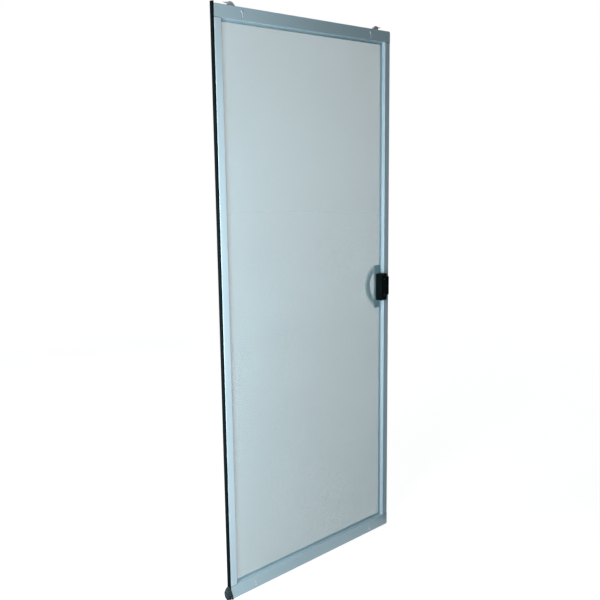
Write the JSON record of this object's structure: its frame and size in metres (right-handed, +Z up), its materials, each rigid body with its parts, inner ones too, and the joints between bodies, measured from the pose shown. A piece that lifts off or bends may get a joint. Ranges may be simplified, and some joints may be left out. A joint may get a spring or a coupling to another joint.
{
  "type": "sliding screen door",
  "caption": "Sliding screen door panel: hollow metal frame, insect screen held by spline, spring rollers, bug seal and a latching pull.",
  "frame": {"origin": "the middle of the flat underside of the bottom rail", "axes": "+Z up, +X across the door to the latch edge, +Y through it from the room to the outside"},
  "size_m": [0.9278, 0.0914, 2.0363],
  "materials": {
    "frame": "satin anodised",
    "key": "moulded",
    "steel": "zinc plated",
    "wheel": "moulded nylon",
    "mesh": "woven screening",
    "spline": "matte",
    "seal": "matte",
    "handle": "satin moulded",
    "outside_handle": "satin moulded"
  },
  "bodies": {
    "door_panel": {"top_rail": "frame", "bottom_rail": "frame", "seal_stile": "frame", "latch_stile": "frame", "screen_mesh": "mesh", "spline_seal_side": "spline", "spline_latch_side": "spline", "spline_top": "spline", "spline_bottom": "spline", "bug_seal": "seal", "seal_flare": "seal", "inside_pull": "handle", "outside_pull": "outside_handle", "pull_screw_lower": "handle", "pull_screw_upper": "handle", "latch_plate": "handle", "corner_key_top_left": "key", "roller_arm_top_left": "steel", "roller_axle_top_left": "steel", "adjusting_screw_top_left": "steel", "corner_key_top_right": "key", "roller_arm_top_right": "steel", "roller_axle_top_right": "steel", "adjusting_screw_top_right": "steel", "corner_key_bottom_left": "key", "roller_arm_bottom_left": "steel", "roller_axle_bottom_left": "steel", "adjusting_screw_bottom_left": "steel", "corner_key_bottom_right": "key", "roller_arm_bottom_right": "steel", "roller_axle_bottom_right": "steel", "adjusting_screw_bottom_right": "steel"},
    "wheel_top_left": {"roller_wheel_top_left": "wheel"},
    "wheel_top_right": {"roller_wheel_top_right": "wheel"},
    "wheel_bottom_left": {"roller_wheel_bottom_left": "wheel"},
    "wheel_bottom_right": {"roller_wheel_bottom_right": "wheel"},
    "latch": {"latch_turn": "handle", "latch_hook": "steel"}
  },
  "joints": [
    {"name": "wheel_spin_top_left", "type": "hinge", "parent": "door_panel", "child": "wheel_top_left", "pos_m": [-0.37385, 0, 2.0213], "axis": [0, 1, 0], "continuous": true},
    {"name": "wheel_spin_top_right", "type": "hinge", "parent": "door_panel", "child": "wheel_top_right", "pos_m": [0.37385, 0, 2.0213], "axis": [0, 1, 0], "continuous": true},
    {"name": "wheel_spin_bottom_left", "type": "hinge", "parent": "door_panel", "child": "wheel_bottom_left", "pos_m": [-0.37385, 0, 0.009], "axis": [0, 1, 0], "continuous": true},
    {"name": "wheel_spin_bottom_right", "type": "hinge", "parent": "door_panel", "child": "wheel_bottom_right", "pos_m": [0.37385, 0, 0.009], "axis": [0, 1, 0], "continuous": true},
    {"name": "latch_swing", "type": "hinge", "parent": "door_panel", "child": "latch", "pos_m": [0.43785, 0, 1.032], "axis": [0, -1, 0], "range_deg": [0, 90]}
  ]
}
